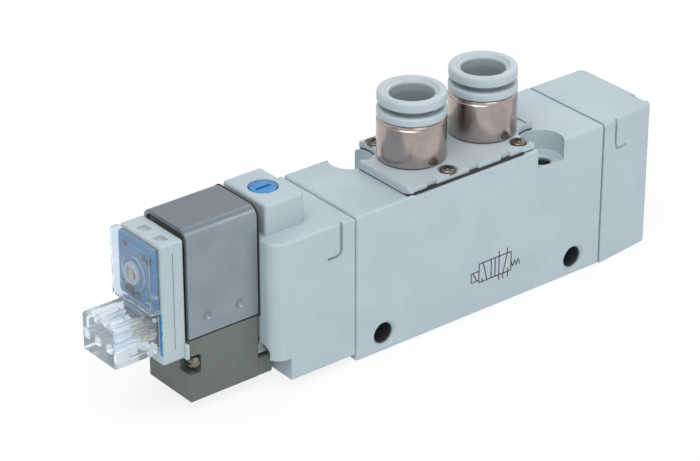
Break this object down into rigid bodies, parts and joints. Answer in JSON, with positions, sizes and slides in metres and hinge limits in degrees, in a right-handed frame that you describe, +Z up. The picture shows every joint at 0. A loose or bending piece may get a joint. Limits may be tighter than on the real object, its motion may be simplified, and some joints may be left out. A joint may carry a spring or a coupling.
{
  "type": "solenoid directional valve",
  "caption": "Slim pilot-operated solenoid valve with push-in tube fittings on top, ports underneath, a plug connector with light and a manual override button.",
  "frame": {"origin": "middle of the valve's length and width, on the underside of the valve body", "axes": "+X along the valve from the pilot valve towards the end cover, +Y to the side without the circuit symbol, +Z up through the push-in fittings"},
  "size_m": [0.096, 0.0168, 0.0349],
  "materials": {
    "painted_casting": "pale blue-grey semi-matte paint",
    "pale_resin": "pale blue-grey moulded resin",
    "white_resin": "satin white resin",
    "dark_resin": "satin dark grey-green resin",
    "grey_sheet": "satin grey sheet metal",
    "blue_resin": "satin blue resin",
    "clear_resin": "clear polished resin",
    "black_rubber": "matte black nitrile rubber",
    "nickel": "electroless nickel plate on brass",
    "steel": "bare stainless steel",
    "aluminium": "turned aluminium",
    "brass": "bare brass",
    "copper": "enamelled copper wire"
  },
  "bodies": {
    "housing": {"adapter_gasket": "black_rubber", "adapter_plate": "pale_resin", "adapter_screw_high": "steel", "adapter_screw_low": "steel", "armature_spring": "steel", "circuit_board": "blue_resin", "coil_bobbin": "dark_resin", "coil_winding": "copper", "connector_block": "white_resin", "end_cover": "pale_resin", "end_cover_gasket": "black_rubber", "end_cover_screw_high": "steel", "end_cover_screw_low": "steel", "fitting_collar_a": "white_resin", "fitting_collar_b": "white_resin", "fitting_shell_a": "nickel", "fitting_shell_b": "nickel", "fixed_core": "steel", "indicator_lamp": "white_resin", "light_cover": "clear_resin", "override_spring": "steel", "pilot_base": "dark_resin", "pilot_cover": "grey_sheet", "pilot_gasket": "black_rubber", "pilot_screw_back": "steel", "pilot_screw_front": "steel", "pilot_seat": "brass", "plate_screw_1": "steel", "plate_screw_2": "steel", "plate_screw_3": "steel", "plate_screw_4": "steel", "plug_contact_1": "brass", "plug_contact_2": "brass", "plug_housing": "clear_resin", "port_plate": "white_resin", "port_seal_a": "black_rubber", "port_seal_b": "black_rubber", "return_spring": "steel", "surge_absorber": "dark_resin", "terminal_pin_1": "brass", "terminal_pin_2": "brass", "tube_chuck_a": "steel", "tube_chuck_b": "steel", "tube_seal_a": "black_rubber", "tube_seal_b": "black_rubber", "valve_body": "painted_casting"},
    "spool_set": {"spool": "aluminium", "spool_seal_1": "black_rubber", "spool_seal_2": "black_rubber", "spool_seal_3": "black_rubber", "spool_seal_4": "black_rubber", "spool_seal_5": "black_rubber", "spool_seal_6": "black_rubber", "piston": "white_resin", "piston_seal": "black_rubber"},
    "override": {"override_button": "blue_resin"},
    "armature_set": {"armature": "steel", "armature_poppet": "black_rubber"},
    "release_a": {"release_bushing_a": "white_resin"},
    "release_b": {"release_bushing_b": "white_resin"}
  },
  "joints": [
    {"name": "spool_slide", "type": "slide", "parent": "housing", "child": "spool_set", "axis": [1, 0, 0], "range_m": [0, 0.0024], "stiffness_N_per_m": 1500, "springref_m": -0.0015, "deforming": ["return_spring"]},
    {"name": "override_press", "type": "slide", "parent": "housing", "child": "override", "axis": [0, 0, -1], "range_m": [0, 0.001], "stiffness_N_per_m": 1200, "springref_m": -0.0006, "deforming": ["override_spring"]},
    {"name": "armature_lift", "type": "slide", "parent": "housing", "child": "armature_set", "axis": [0, 0, 1], "range_m": [0, 0.0004], "stiffness_N_per_m": 1500, "springref_m": -0.0006, "deforming": ["armature_spring"]},
    {"name": "release_press_a", "type": "slide", "parent": "housing", "child": "release_a", "axis": [0, 0, -1], "range_m": [0, 0.0006], "stiffness_N_per_m": 1500, "springref_m": -0.0004},
    {"name": "release_press_b", "type": "slide", "parent": "housing", "child": "release_b", "axis": [0, 0, -1], "range_m": [0, 0.0006], "stiffness_N_per_m": 1500, "springref_m": -0.0004}
  ]
}
